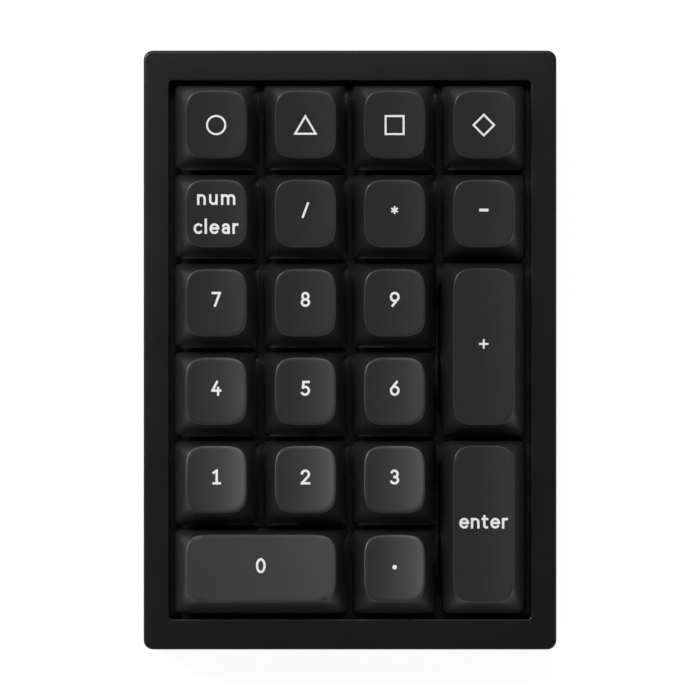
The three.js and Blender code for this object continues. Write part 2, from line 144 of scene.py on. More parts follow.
def start_loop(bm, points):
    """An edge loop through the points. Each vertex remembers its place in the loop."""
    place = bm.verts.layers.int.get("place") or bm.verts.layers.int.new("place")
    ring = bmesh.ops.create_circle(bm, segments=len(points), radius=1)["verts"]
    for index, vertex in enumerate(ring):
        vertex[place] = index
        vertex.co = points[index]
    return list({edge for vertex in ring for edge in vertex.link_edges})


def grow(bm, loop, points):
    """Extrudes an edge loop to the next set of points and returns the new loop."""
    place = bm.verts.layers.int["place"]
    made = bmesh.ops.extrude_edge_only(bm, edges=loop)["geom"]
    for vertex in (v for v in made if isinstance(v, bmesh.types.BMVert)):
        vertex.co = points[vertex[place]]
    return [e for e in made if isinstance(e, bmesh.types.BMEdge)]


def close(bm, loop):
    bmesh.ops.contextual_create(bm, geom=loop)


def solid_through(bm, rings):
    """A closed body that passes through the rings of points. Returns its edge loops."""
    loops = [start_loop(bm, rings[0])]
    close(bm, loops[0])
    for ring in rings[1:]:
        loops.append(grow(bm, loops[-1], ring))
    close(bm, loops[-1])
    return loops


def stack(bm, levels):
    """A closed body that passes through outlines, each with its height."""
    return solid_through(bm, [at_height(shape, z) for shape, z in levels])


def turned(bm, steps, profile, x=0.0, y=0.0):
    """A closed round body that passes through pairs of a radius and a height."""
    return stack(bm, [(circle(radius, x, y, steps), z) for radius, z in profile])


def tube_through(bm, rings):
    """A closed body whose rings of points lead back to the first one."""
    loops = [start_loop(bm, rings[0])]
    for ring in rings[1:]:
        loops.append(grow(bm, loops[-1], ring))
    bmesh.ops.bridge_loops(bm, edges=loops[0] + loops[-1])
    return loops


def bevel(bm, edges, offset, segments):
    bmesh.ops.bevel(bm, geom=list(edges), offset=offset, segments=segments, profile=0.5,
                    material=-1, affect="EDGES", clamp_overlap=True)


def weigh_normals(piece):
    """Lets the wide faces set the shading, so that only the small round edges curve."""
    piece.modifiers.new("face weighted normals", "WEIGHTED_NORMAL").keep_sharp = True


def finish_piece(bm, name, material, place=DECK, angle=40):
    """Turns the bmesh, drawn in mm, into an object of the frame, in its place."""
    bmesh.ops.remove_doubles(bm, verts=bm.verts, dist=1e-5)
    bmesh.ops.recalc_face_normals(bm, faces=bm.faces)
    mesh = bpy.data.meshes.new(name)
    bm.to_mesh(mesh)
    bm.free()
    mesh.transform(place)
    piece = bpy.data.objects.new(name, mesh)
    bpy.context.scene.collection.objects.link(piece)
    mesh.materials.append(material)
    mesh.shade_smooth()
    mesh.set_sharp_from_angle(angle=math.radians(angle))
    weigh_normals(piece)
    return piece


def ride(piece, body, replaces=()):
    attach(piece, body)
    if replaces:
        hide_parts(*replaces)


def paint(colour):
    """A sRGB hex colour as linear RGBA."""
    channels = [int(colour[i:i + 2], 16) / 255 for i in (1, 3, 5)]
    linear = [c / 12.92 if c <= 0.04045 else ((c + 0.055) / 1.055) ** 2.4 for c in channels]
    return (*linear, 1.0)


def node(tree, kind, inputs=None, **settings):
    """Adds a node with its settings, and links or sets its inputs."""
    made = tree.nodes.new(kind)
    for key, value in settings.items():
        setattr(made, key, value)
    for key, value in (inputs or {}).items():
        if isinstance(value, bpy.types.NodeSocket):
            tree.links.new(value, made.inputs[key])
        else:
            made.inputs[key].default_value = value
    return made


def material_with(name, **shader_values):
    """A material with one Principled shader. Returns it, its tree, shader and coordinates."""
    material = bpy.data.materials.new(name)
    material.use_nodes = True
    tree = material.node_tree
    shader = tree.nodes["Principled BSDF"]
    for key, value in shader_values.items():
        shader.inputs[key.replace("_", " ")].default_value = value
    coords = node(tree, "ShaderNodeTexCoord").outputs["Object"]
    return material, tree, shader, coords


def grain(tree, coords, size_mm, detail=2.0, roughness=0.5):
    """Fine noise whose lumps are size_mm across."""
    return node(tree, "ShaderNodeTexNoise", {
        "Vector": coords,
        "Scale": 1 / (size_mm * MM),
        "Detail": detail,
        "Roughness": roughness,
    }).outputs["Fac"]


def vary(tree, factor, low, high):
    """Spreads a 0 to 1 pattern between two values."""
    return node(tree, "ShaderNodeMapRange", {
        "Value": factor,
        "From Min": 0.3,
        "From Max": 0.7,
        "To Min": low,
        "To Max": high,
    }).outputs["Result"]


def mix_colours(tree, factor, first, second):
    mixed = node(tree, "ShaderNodeMix", data_type="RGBA")
    tree.links.new(factor, mixed.inputs["Factor"])
    mixed.inputs["A"].default_value = paint(first)
    mixed.inputs["B"].default_value = paint(second)
    return mixed.outputs["Result"]


def bump(tree, height, depth_mm, strength):
    return node(tree, "ShaderNodeBump", {
        "Height": height,
        "Distance": depth_mm * MM,
        "Strength": strength,
    }).outputs["Normal"]


def dress(tree, shader, colour, roughness=None, relief=None):
    """Links patterns to a shader. Each is a pattern with what its low and high parts give:
    two colours, two roughnesses, or for relief its depth in mm and its strength."""
    kinds = {"Base Color": (mix_colours, colour), "Roughness": (vary, roughness), "Normal": (bump, relief)}
    for name, (maker, values) in kinds.items():
        if values:
            tree.links.new(maker(tree, *values), shader.inputs[name])


def bead_blasted_anodised_aluminium():
    # Blasting leaves tiny dimples, so the black layer is even and satin, with a very
    # fine sparkle. The dimples are drawn at 0.25 mm, coarser than real, so they show.
    material, tree, shader, coords = material_with(
        "bead blasted anodised aluminium", Metallic=0.0, IOR=1.45)
    dimples = grain(tree, coords, 0.25)
    cloud = grain(tree, coords, 9)
    dress(tree, shader, (dimples, "#09090a", "#0e0e0f"), (cloud, 0.28, 0.3), (dimples, 0.02, 0.35))
    return material


anodised = bead_blasted_anodised_aluminium()


def desk_height(lift):
    """Deck height of the level plane that is lift mm above the desk."""
    return lambda x, y: ((lift * MM - deck_origin.z) / MM - y * math.sin(lean_back)) / math.cos(lean_back)


def cut(piece, cutters):
    """Cuts the closed cutters out of a piece for good."""
    piece.modifiers.clear()
    for cutter in cutters:
        modifier = piece.modifiers.new("cut", "BOOLEAN")
        modifier.operation = "DIFFERENCE"
        modifier.solver = "EXACT"
        modifier.object = cutter
    graph = bpy.context.evaluated_depsgraph_get()
    final = bpy.data.meshes.new_from_object(piece.evaluated_get(graph))
    piece.modifiers.clear()
    piece.data = final
    for cutter in cutters:
        bpy.data.objects.remove(cutter)
    final.set_sharp_from_angle(angle=math.radians(40))
    weigh_normals(piece)


def cutter(outline, z0, z1, place=DECK):
    bm = bmesh.new()
    stack(bm, [(outline, z0), (outline, z1)])
    made = finish_piece(bm, "cutter", anodised, place)
    made.modifiers.clear()
    return made


screw_low, screw_high = deck_box("case_screw_rear_right")
SCREW_X = (screw_low.x + screw_high.x) / 2
SCREW_Y = (screw_low.y + screw_high.y) / 2
SCREW_PLACES = {"front_left": (-SCREW_X, -SCREW_Y), "front_right": (SCREW_X, -SCREW_Y),
                "rear_left": (-SCREW_X, SCREW_Y), "rear_right": (SCREW_X, SCREW_Y)}
SCREW_HEAD = (screw_high.x - screw_low.x) / 2
SCREW_SEAT = -7.6
SCREW_SHANK = 1.2
FOOT_SINK = 0.8
feet = {name: [Vector(c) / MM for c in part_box(name)] for name in frame["nodes"] if name.startswith("foot_")}
socket_low, socket_high = deck_box("usb_c_port")
SOCKET_WIDTH = socket_high.x - socket_low.x
SOCKET_HEIGHT = socket_high.z - socket_low.z
SOCKET_LEVEL = (socket_low.z + socket_high.z) / 2
SOCKET_FACE = socket_high.y
RECESS_FLOOR = SOCKET_FACE - 0.6
RECESS_WIDTH = 13.0
RECESS_HEIGHT = 7.0


def rear_wall_place(y):
    """Turns a drawing's x, y and z into left, up and rearwards, from the plane at y."""
    turn = Matrix(((-1, 0, 0, 0), (0, 0, 1, y), (0, 1, 0, SOCKET_LEVEL), (0, 0, 0, 1)))
    return DECK @ turn


bm = bmesh.new()
outline = rounded_outline(CASE_WIDTH, CASE_DEPTH, CASE_CORNER)
inner = rounded_outline(CASE_WIDTH - 2 * TRAY_WALL, CASE_DEPTH - 2 * TRAY_WALL, 3.0)
under = stack(bm, [
    (outline, desk_height(FOOT_LIFT)),
    (outline, PARTING - SEAM),
    (inner, PARTING - SEAM),
    (inner, desk_height(FOOT_LIFT + FLOOR)),
])[0]
bevel(bm, under, 0.6, 3)
bottom_case = finish_piece(bm, "bottom_case_shell", anodised)
cutters = []
for x, y in SCREW_PLACES.values():
    cutters.append(cutter(circle(SCREW_HEAD + 0.3, x, y), -40, SCREW_SEAT))
    cutters.append(cutter(circle(SCREW_SHANK + 0.2, x, y, 16), SCREW_SEAT - 1, 0))
for low, high in feet.values():
    ring = circle((high.x - low.x) / 2 + 0.3, (low.x + high.x) / 2, (low.y + high.y) / 2, 48)
    cutters.append(cutter(ring, FOOT_LIFT - 1, FOOT_LIFT + FOOT_SINK, Matrix.Scale(MM, 4)))
plug_recess = rounded_outline(RECESS_WIDTH, RECESS_HEIGHT, RECESS_HEIGHT / 2 - 0.01)
socket_hole = rounded_outline(SOCKET_WIDTH + 0.5, SOCKET_HEIGHT + 0.5, 1.5)
cutters.append(cutter(plug_recess, 0, 6, rear_wall_place(RECESS_FLOOR)))
cutters.append(cutter(socket_hole, -4, 1, rear_wall_place(RECESS_FLOOR)))
cut(bottom_case, cutters)
ride(bottom_case, "case", ["bottom_case"])

# ---------------------------------------------------------------------------
# Feet: four moulded silicone rubber discs, glued into round recesses.
# ---------------------------------------------------------------------------
FOOT_RING_WIDTH = 1.2


def moulded_rubber():
    # Soft rubber is dull and faintly dusty, and slightly lighter where it is worn.
    material, tree, shader, coords = material_with("moulded silicone rubber", Roughness=0.85)
    speckle = grain(tree, coords, 0.4, detail=4)
    wear = grain(tree, coords, 3)
    dress(tree, shader, (speckle, "#131314", "#202022"), (wear, 0.78, 0.92), (speckle, 0.05, 0.5))
    return material


rubber = moulded_rubber()
for name, (low, high) in feet.items():
    bm = bmesh.new()
    radius = (high.x - low.x) / 2
    cx, cy = (low.x + high.x) / 2, (low.y + high.y) / 2
    profile = [(radius, high.z), (radius, low.z), (radius - FOOT_RING_WIDTH, low.z),
               (radius - FOOT_RING_WIDTH - 0.3, low.z + 0.25)]
    loops = turned(bm, 48, profile, cx, cy)
    bevel(bm, loops[1], 0.3, 3)
    ride(finish_piece(bm, f"{name}_pad", rubber, Matrix.Scale(MM, 4)), "case", [name])

# ---------------------------------------------------------------------------
# Plug socket: a drawn steel shell, soldered to the circuit board, with a black
# tongue in its mouth that carries a row of flat contacts on both faces.
# ---------------------------------------------------------------------------
SHELL_CORNER = 1.2
SHELL_WALL = 0.32
MOUTH_DEPTH = 6.2
TONGUE_WIDTH = 6.7
TONGUE_HEIGHT = 0.7
TONGUE_SETBACK = 0.8
TONGUE_ROOT = 1.0
CONTACT_PITCH = 0.5
CONTACT_COUNT = 12


def plated_steel():
    # Tin plating is bright with faint rolling marks along the sheet, drawn 0.4 mm apart.
    material, tree, shader, coords = material_with("tin plated steel", Metallic=1.0)
    stretched = node(tree, "ShaderNodeMapping", {"Vector": coords, "Scale": (0.15, 1.0, 1.0)})
    marks = grain(tree, stretched.outputs["Vector"], 0.4, detail=3)
    dress(tree, shader, (marks, "#a9aaac", "#c4c5c7"), (marks, 0.24, 0.38))
    return material


def moulded_nylon(name, dark, light):
    # Glass-filled nylon has a fine, slightly cloudy skin. Its fibres show as 0.3 mm specks.
    material, tree, shader, coords = material_with(name, IOR=1.53)
    specks = grain(tree, coords, 0.3, detail=4)
    dress(tree, shader, (specks, dark, light), (grain(tree, coords, 2), 0.4, 0.55), (specks, 0.01, 0.3))
    return material


def copper_alloy():
    # Stamped phosphor bronze: warm, satin, with darker patches where it has dulled.
    material, tree, shader, coords = material_with("stamped phosphor bronze", Metallic=1.0)
    patches = grain(tree, coords, 1.5, detail=5, roughness=0.6)
    dress(tree, shader, (patches, "#a8613f", "#cf8a62"), (patches, 0.25, 0.42))
    return material


steel = plated_steel()
black_nylon = moulded_nylon("black moulded nylon", "#101011", "#1c1c1d")
bronze = copper_alloy()
socket_length = socket_high.y - socket_low.y
bm = bmesh.new()
shell = rounded_outline(SOCKET_WIDTH, SOCKET_HEIGHT, SHELL_CORNER)
mouth_width = SOCKET_WIDTH - 2 * SHELL_WALL
mouth_height = SOCKET_HEIGHT - 2 * SHELL_WALL
mouth = rounded_outline(mouth_width, mouth_height, SHELL_CORNER - SHELL_WALL)
loops = stack(bm, [
    (shell, -socket_length),
    (shell, 0),
    (mouth, 0),
    (mouth, -MOUTH_DEPTH),
])
bevel(bm, loops[1] + loops[2], 0.1, 2)
usb_shell = finish_piece(bm, "usb_shell", steel, rear_wall_place(SOCKET_FACE))
ride(usb_shell, "case", ["usb_c_port"])
bm = bmesh.new()
tongue = rounded_outline(TONGUE_WIDTH, TONGUE_HEIGHT, 0.2)
block_end = rounded_outline(TONGUE_WIDTH + 0.6, TONGUE_HEIGHT + 0.9, 0.3)
stack(bm, [
    (block_end, -MOUTH_DEPTH - 0.3),
    (block_end, -MOUTH_DEPTH + TONGUE_ROOT),
    (tongue, -MOUTH_DEPTH + TONGUE_ROOT),
    (tongue, -TONGUE_SETBACK),
])
usb_tongue = finish_piece(bm, "usb_tongue", black_nylon, rear_wall_place(SOCKET_FACE))
ride(usb_tongue, "case")
bm = bmesh.new()
pad_outline = rounded_outline(0.26, 0.08, 0.02, 1)
for number in range(CONTACT_COUNT):
    for face in (-1, 1):
        x = (number - (CONTACT_COUNT - 1) / 2) * CONTACT_PITCH
        pad = [(x + px, face * TONGUE_HEIGHT / 2 + py) for px, py in pad_outline]
        stack(bm, [(pad, -MOUTH_DEPTH + TONGUE_ROOT), (pad, -TONGUE_SETBACK - 0.3)])
usb_contacts = finish_piece(bm, "usb_contacts", bronze, rear_wall_place(SOCKET_FACE))
ride(usb_contacts, "case")

# ---------------------------------------------------------------------------
# Circuit board, foam, switch plate and gasket: flat sheets stacked in the case.
# Board in black solder mask; die-cut closed-cell foam on it; steel plate, laser
# cut and powder coated black; a soft ring between the plate and the top case.
# ---------------------------------------------------------------------------


def coat_node(name, material):
    for slot in frame["nodes"][name].material_slots:
        slot.material = material


def solder_mask():
    # Mask flows over the copper tracks below it, which show as soft ridges 1.2 mm apart.
    material, tree, shader, coords = material_with("black solder mask", IOR=1.5, Coat_Weight=0.3)
    tracks = node(tree, "ShaderNodeTexWave", {
        "Vector": coords,
        "Scale": 1 / (1.2 * MM) / 6.3,
        "Distortion": 6.0,
        "Detail": 2.0,
    }, wave_type="BANDS").outputs["Fac"]
    cloud = grain(tree, coords, 5)
    dress(tree, shader, (tracks, "#0b0d0c", "#141a17"), (cloud, 0.28, 0.42), (tracks, 0.05, 0.4))
    return material


def closed_cell_foam(name):
    # The cut face shows the cells, drawn 0.5 mm across.
    material, tree, shader, coords = material_with(name, Roughness=0.95)
    cells = node(tree, "ShaderNodeTexVoronoi", {
        "Vector": coords,
        "Scale": 1 / (0.5 * MM),
    }).outputs["Distance"]
    dress(tree, shader, (cells, "#0b0b0c", "#1d1d1e"), relief=(cells, 0.1, 0.6))
    return material


def powder_coat():
    # Baked powder has a low orange-peel skin, about 0.8 mm from crest to crest.
    material, tree, shader, coords = material_with("black powder coat", IOR=1.5)
    peel = grain(tree, coords, 0.8, detail=1)
    cloud = grain(tree, coords, 6)
    dress(tree, shader, (cloud, "#0a0a0b", "#101011"), (peel, 0.45, 0.6), (peel, 0.03, 0.5))
    return material


foam = closed_cell_foam("closed cell foam")
coat_node("circuit_board", solder_mask())
coat_node("plate_foam", foam)
coat_node("plate_gasket", foam)
coat_node("switch_plate", powder_coat())

# ---------------------------------------------------------------------------
# Switches, 21 alike. The milky lower housing snaps into the plate and stands on
# the board; the clear upper housing clips on it and guides the slider. A spring
# on a hollow peg lifts the slider, and a bronze leaf beside it makes the contact.
# ---------------------------------------------------------------------------
BOARD_TOP = -5.0
COLLAR = 13.9
BODY = 13.1
FLANGE = 15.6
FLANGE_TOP = 1.05
HOUSING_WALL = 0.8
COVER_SEAT = 0.4
WELL_FLOOR = -3.6
RIB_OFFSET = 3.6
RIB_WIDTH = 1.6
LOCATING_RADIUS = 1.95
LOCATING_TIP = -7.8
PEG_RADIUS = 1.75
PEG_BORE = 1.3
PEG_TOP = -0.6
COVER_TOP = 6.6
COVER_TOP_WIDTH = 11.0
COVER_TOP_DEPTH = 9.8
COVER_WALL = 0.9
WAIST_WIDTH = 12.4
WAIST_DEPTH = 11.7
WAIST_HEIGHT = 3.6
LIGHT_RIBS = 4
LIGHT_RIB_PITCH = 0.6
LIGHT_RIB_FOOT = 2.0
GUIDE_WIDTH = 7.2
GUIDE_DEPTH = 6.2
SLIDER_WIDTH = 6.8
SLIDER_DEPTH = 5.6
SLIDER_BOTTOM = 1.0
SHOULDER = 6.9
SLIDER_CEILING = 5.3
STALK_RADIUS = 1.0
STALK_TIP = 1.3
CROSS_TOP = 10.5
CROSS_SPAN = 4.0
CROSS_ARM = 1.25
SPRING_RADIUS = 2.1
SPRING_WIRE = 0.15
SPRING_FOOT = -3.4
SPRING_HEAD = 5.1
SPRING_TURNS = 9
TRAVEL = 4.0
PIN_PLACES = [(-3.81, 2.54), (2.54, 5.08)]
PIN_TIP = -8.2
# The leaf, the fixed strip and the two tabs that lead to the pins: lowest and highest corners.
CONTACT_STRIPS = [
    ((-4.6, 3.9, -3.5), (-1.2, 4.15, 3.4)),
    ((0.6, 4.5, -3.5), (4.0, 4.75, 2.6)),
    ((-4.4, 2.4, -3.55), (-3.2, 4.1, -3.3)),
    ((1.9, 4.5, -3.55), (3.1, 5.3, -3.3)),
]


def milky_nylon():
    # Unfilled nylon lets light in a little way, so edges glow and thick parts look
    # milky. The flow clouds are about 3 mm across.
    material, tree, shader, coords = material_with(
        "milky moulded nylon", IOR=1.53, Subsurface_Weight=0.25, Subsurface_Scale=0.0015)
    clouds = grain(tree, coords, 3, detail=3)
    fine = grain(tree, coords, 0.3)
    dress(tree, shader, (clouds, "#cfcabd", "#e4e1d8"), (clouds, 0.3, 0.42), (fine, 0.01, 0.3))
    return material


def clear_polycarbonate():
    # Polished moulds leave it clear, with slight ripples from the flow.
    material, tree, shader, coords = material_with(
        "clear polycarbonate", IOR=1.58, Transmission_Weight=0.92)
    ripples = grain(tree, coords, 2.5)
    dress(tree, shader, (ripples, "#eeeeea", "#fafaf7"), (ripples, 0.06, 0.16), (ripples, 0.04, 0.4))
    return material


def brown_acetal():
    # Acetal is smooth and waxy. Rubbing on the guides leaves faint upright streaks.
    material, tree, shader, coords = material_with("brown acetal", IOR=1.48)
    stretched = node(tree, "ShaderNodeMapping", {"Vector": coords, "Scale": (1.0, 1.0, 0.2)})
    streaks = grain(tree, stretched.outputs["Vector"], 0.5, detail=3)
    dress(tree, shader, (streaks, "#38130e", "#4a1c14"), (streaks, 0.28, 0.4))
    return material


def square(size, radius=0.5, corner_steps=4):
    return rounded_outline(size, size, radius, corner_steps)


def box_between(bm, low, high, taper=0.0):
    """An upright block from one corner to the other, a little narrower at its foot."""
    (x0, y0, z0), (x1, y1, z1) = low, high
    head = [(x1, y1), (x0, y1), (x0, y0), (x1, y0)]
    inset = [(-taper, -taper), (taper, -taper), (taper, taper), (-taper, taper)]
    foot = [(x + dx, y + dy) for (x, y), (dx, dy) in zip(head, inset)]
    return stack(bm, [(foot, z0), (head, z1)])


def lower_housing():
    bm = bmesh.new()
    cavity = FLANGE_TOP - COVER_SEAT
    loops = stack(bm, [
        (square(BODY - 0.5), BOARD_TOP + 0.05),
        (square(BODY), -1.9),
        (square(COLLAR), -1.6),
        (square(COLLAR), 0.05),
        (square(FLANGE, 0.9), 0.05),
        (square(FLANGE, 0.9), FLANGE_TOP),
        (square(COLLAR + 0.3), FLANGE_TOP),
        (square(COLLAR + 0.3), cavity),
        (square(BODY - 2 * HOUSING_WALL), cavity),
        (square(BODY - 2 * HOUSING_WALL), WELL_FLOOR),
    ])
    bevel(bm, loops[4] + loops[5], 0.2, 2)
    # Upright ribs below the collar, two on each side, and a locating peg under the floor.
    for turn in range(4):
        quarter = Matrix.Rotation(math.radians(90 * turn), 4, "Z")
        for side in (-1, 1):
            before = set(bm.verts)
            left, right = (side * RIB_OFFSET + half for half in (-RIB_WIDTH / 2, RIB_WIDTH / 2))
            box_between(bm, (left, BODY / 2 - 0.6, BOARD_TOP + 0.1), (right, COLLAR / 2, -1.7), 0.15)
            bmesh.ops.transform(bm, matrix=quarter, verts=[v for v in bm.verts if v not in before])
    turned(bm, 20, [(LOCATING_RADIUS - 0.35, LOCATING_TIP), (LOCATING_RADIUS, LOCATING_TIP + 0.4),
                    (LOCATING_RADIUS, BOARD_TOP + 0.1)])
    # The hollow peg that holds the spring and guides the foot of the slider.
    turned(bm, 20, [(PEG_RADIUS, WELL_FLOOR - 0.1), (PEG_RADIUS, PEG_TOP), (PEG_BORE, PEG_TOP),
                    (PEG_BORE, WELL_FLOOR + 0.1)])
    return bm


def upper_housing():
    bm = bmesh.new()
    rim = FLANGE_TOP - 0.35
    top = rounded_outline(COVER_TOP_WIDTH, COVER_TOP_DEPTH, 1.0, 4)
    roof_width, roof_depth = COVER_TOP_WIDTH - 2 * COVER_WALL, COVER_TOP_DEPTH - 2 * COVER_WALL
    roof = rounded_outline(roof_width, roof_depth, 0.7, 4)
    guide = rounded_outline(GUIDE_WIDTH, GUIDE_DEPTH, 0.4, 4)
    waist = rounded_outline(WAIST_WIDTH, WAIST_DEPTH, 0.9, 4)
    inner_waist = rounded_outline(WAIST_WIDTH - 2 * COVER_WALL, WAIST_DEPTH - 2 * COVER_WALL, 0.7, 4)
    loops = tube_through(bm, [
        at_height(square(COLLAR), rim),
        at_height(square(COLLAR), FLANGE_TOP + 0.4),
        at_height(waist, WAIST_HEIGHT),
        at_height(top, COVER_TOP),
        at_height(guide, COVER_TOP),
        at_height(guide, COVER_TOP - COVER_WALL),
        at_height(roof, COVER_TOP - COVER_WALL),
        at_height(inner_waist, WAIST_HEIGHT - 0.3),
        at_height(square(COLLAR - 2 * COVER_WALL), rim),
    ])
    bevel(bm, loops[3], 0.5, 3)
    bevel(bm, loops[4], 0.15, 2)
    # Small level ribs on the side that faces the typist.
    for number in range(LIGHT_RIBS):
        z = LIGHT_RIB_FOOT + LIGHT_RIB_PITCH * number
        reach = COLLAR / 2 - 0.42 * (z - 1.4)
        box_between(bm, (-2.4, -reach - 0.15, z), (2.4, -reach + 0.7, z + 0.25))
    return bm


def slider():
    bm = bmesh.new()
    outer = rounded_outline(SLIDER_WIDTH, SLIDER_DEPTH, 0.4)
    hollow = rounded_outline(2 * SPRING_RADIUS + 0.7, 2 * SPRING_RADIUS + 0.7, SPRING_RADIUS + 0.34)
    loops = stack(bm, [(outer, SHOULDER), (outer, SLIDER_BOTTOM), (hollow, SLIDER_BOTTOM),
                       (hollow, SLIDER_CEILING)])
    bevel(bm, loops[0], 0.25, 2)
    turned(bm, 16, [(STALK_RADIUS - 0.3, STALK_TIP), (STALK_RADIUS, STALK_TIP + 0.3),
                    (STALK_RADIUS, SLIDER_CEILING + 0.2)])
    a, s = CROSS_ARM / 2, CROSS_SPAN / 2
    cross = [(s, -a), (s, a), (a, a)]
    for quarter in range(3):
        cross += [(-y, x) for x, y in cross[-3:]]
    narrow = [(x * 0.9, y * 0.9) for x, y in cross]
    stack(bm, [(cross, SHOULDER - 0.3), (cross, CROSS_TOP - 0.4), (narrow, CROSS_TOP)])
    return bm


def coil_spring():
    """A steel helix with closed ends, drawn as one swept wire."""
    bm = bmesh.new()
    steps = SPRING_TURNS * 12
    rings = []
    for i in range(steps + 1):
        turn = 2 * math.pi * SPRING_TURNS * i / steps
        part = (1 - math.cos(math.pi * min(max((i / steps - 0.08) / 0.84, 0), 1))) / 2
        part = 0.75 * i / steps + 0.25 * part
        z = SPRING_FOOT + SPRING_WIRE + part * (SPRING_HEAD - SPRING_FOOT - 2 * SPRING_WIRE)
        section = []
        for x, y in circle(SPRING_WIRE, steps=5):
            reach = SPRING_RADIUS + x
            section.append((reach * math.cos(turn), reach * math.sin(turn), z + y))
        rings.append(section)
    solid_through(bm, rings)
    return bm


def contacts():
    """Two pins through the board, the bronze leaf and the fixed strip that it meets."""
    bm = bmesh.new()
    pin = rounded_outline(1.1, 0.6, 0.25, 2)
    for x, y in PIN_PLACES:
        shaft = [(x + px, y + py) for px, py in pin]
        point = [(x + px * 0.4, y + py * 0.4) for px, py in pin]
        stack(bm, [(point, PIN_TIP), (shaft, PIN_TIP + 0.7), (shaft, WELL_FLOOR - 0.2)])
    for low, high in CONTACT_STRIPS:
        loops = box_between(bm, low, high)
        bevel(bm, loops[1], 0.08, 1)
    return bm


nylon = milky_nylon()
polycarbonate = clear_polycarbonate()
acetal = brown_acetal()
switch_parts = [
    ("lower_housing", lower_housing(), nylon, "switch_housing"),
    ("upper_housing", upper_housing(), polycarbonate, "switch_window"),
    ("slider", slider(), acetal, "switch_slider"),
    ("spring", coil_spring(), steel, "bright_steel"),
    ("contacts", contacts(), bronze, "copper"),
]
for cad_name in [name for name in frame["nodes"] if name.startswith("switch_") and name != "switch_plate"]:
    key = cad_name[len("switch_"):]
    low, high = deck_box(cad_name)
    place = deck_at((low.x + high.x) / 2, (low.y + high.y) / 2)
    for part, shape, material, slot in switch_parts:
        piece = finish_piece(shape.copy(), f"{part}_{key}", material, place)
        body = f"key_{key}" if part == "slider" else "case"
        ride(piece, body, [cad_name] if part == "lower_housing" else ())
        if part == "spring":
            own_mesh(piece)

# ---------------------------------------------------------------------------
# Stabilisers of the three double keys: moulded nylon housings snapped into the
# plate, and a bent, blackened spring-steel wire that turns in their clips. The wire's
# dark colour is partly its blackened finish and partly painted shade, for the shade
# in the gaps between the caps. Its hooks lie in notches of the cap's stems, so both
# ends of the cap go down together.
# ---------------------------------------------------------------------------
STEM_OFFSET = 11.9
WIRE_RADIUS = 0.65
WIRE_PIVOT = 1.1
WIRE_ARM = 9.2
WIRE_LIFT = TRAVEL / 2
WIRE_RUN = math.sqrt(WIRE_ARM ** 2 - WIRE_LIFT ** 2)
WIRE_SIDE = STEM_OFFSET + 2.2
WIRE_BEND = 1.1
HOOK_END = STEM_OFFSET + 0.5
HOUSING_FOOT = -4.4
HOUSING_RIM = 0.9
CLIP_RADIUS = 1.2
CLIP_BORE = 0.78
CLIP_START = 9.9
CLIP_END = 13.1
# The right-hand housing seen from above: its bracket, and the flange that rests on the plate.
BRACKET = [(15.2, -2.3), (15.2, -1.8), (10.4, -1.8), (10.4, 6.8),
           (13.2, 6.8), (13.2, 7.6), (9.8, 7.6), (9.8, -2.3)]
BRACKET_FLANGE = [(16.2, -3.2), (16.2, -1.8), (10.4, -1.8), (10.4, 6.8),
                  (13.2, 6.8), (13.2, 8.0), (9.0, 8.0), (9.0, -3.2)]
DOUBLE_KEYS = {"0": 0, "add": 90, "enter": 90}


def fillet(points, radius, steps=5):
    """Rounds the inner corners of a path of straight runs."""
    path = [points[0]]
    for before, corner, after in zip(points, points[1:], points[2:]):
        away, ahead = (before - corner).normalized(), (after - corner).normalized()
        start, end = corner + away * radius, corner + ahead * radius
        for i in range(steps + 1):
            t = i / steps
            path.append(start * (1 - t) ** 2 + corner * 2 * t * (1 - t) + end * t ** 2)
    return path + [points[-1]]


def swept_bar(bm, path, radius, sides=12):
    """A round bar along a path, its section turned to follow it."""
    rings = []
    side = (path[1] - path[0]).orthogonal().normalized()
    for i, point in enumerate(path):
        along = (path[min(i + 1, len(path) - 1)] - path[max(i - 1, 0)]).normalized()
        side = (side - along * side.dot(along)).normalized()
        across = along.cross(side)
        rings.append([point + side * x + across * y for x, y in circle(radius, steps=sides)])
    return solid_through(bm, rings)


def stabiliser_wire():
    half = [Vector((HOOK_END, 0, WIRE_PIVOT + WIRE_LIFT)), Vector((WIRE_SIDE, 0, WIRE_PIVOT + WIRE_LIFT)),
            Vector((WIRE_SIDE, WIRE_RUN, WIRE_PIVOT))]
    corners = half + [Vector((-p.x, p.y, p.z)) for p in reversed(half)]
    bm = bmesh.new()
    loops = swept_bar(bm, fillet(corners, WIRE_BEND), WIRE_RADIUS)
    bevel(bm, loops[0] + loops[-1], 0.12, 2)
    return bm


def stabiliser_housing(side):
    """A bracket open to the outside, where the wire's arm swings, with a clip behind it."""
    bm = bmesh.new()
    stack(bm, [(BRACKET, HOUSING_FOOT), (BRACKET, 0.1)])
    loops = stack(bm, [(BRACKET_FLANGE, 0.05), (BRACKET_FLANGE, HOUSING_RIM)])
    bevel(bm, loops[1], 0.2, 2)
    # The clip is a C round the wire's bar, open on top, on a tongue that joins the bracket.
    clip_angles = [math.radians(150 + 240 * i / 12) for i in range(13)]
    clip = []
    for radius, angles in ((CLIP_RADIUS, clip_angles), (CLIP_BORE, clip_angles[::-1])):
        clip += [(WIRE_RUN + radius * math.cos(a), WIRE_PIVOT + radius * math.sin(a)) for a in angles]
    solid_through(bm, [[(x, y, z) for y, z in clip] for x in (CLIP_START, CLIP_END)])
    box_between(bm, (CLIP_START, 7.2, 0.1), (CLIP_END, WIRE_RUN - 0.9, 0.6))
    if side < 0:
        bmesh.ops.scale(bm, vec=(-1, 1, 1), verts=bm.verts)
    return bm


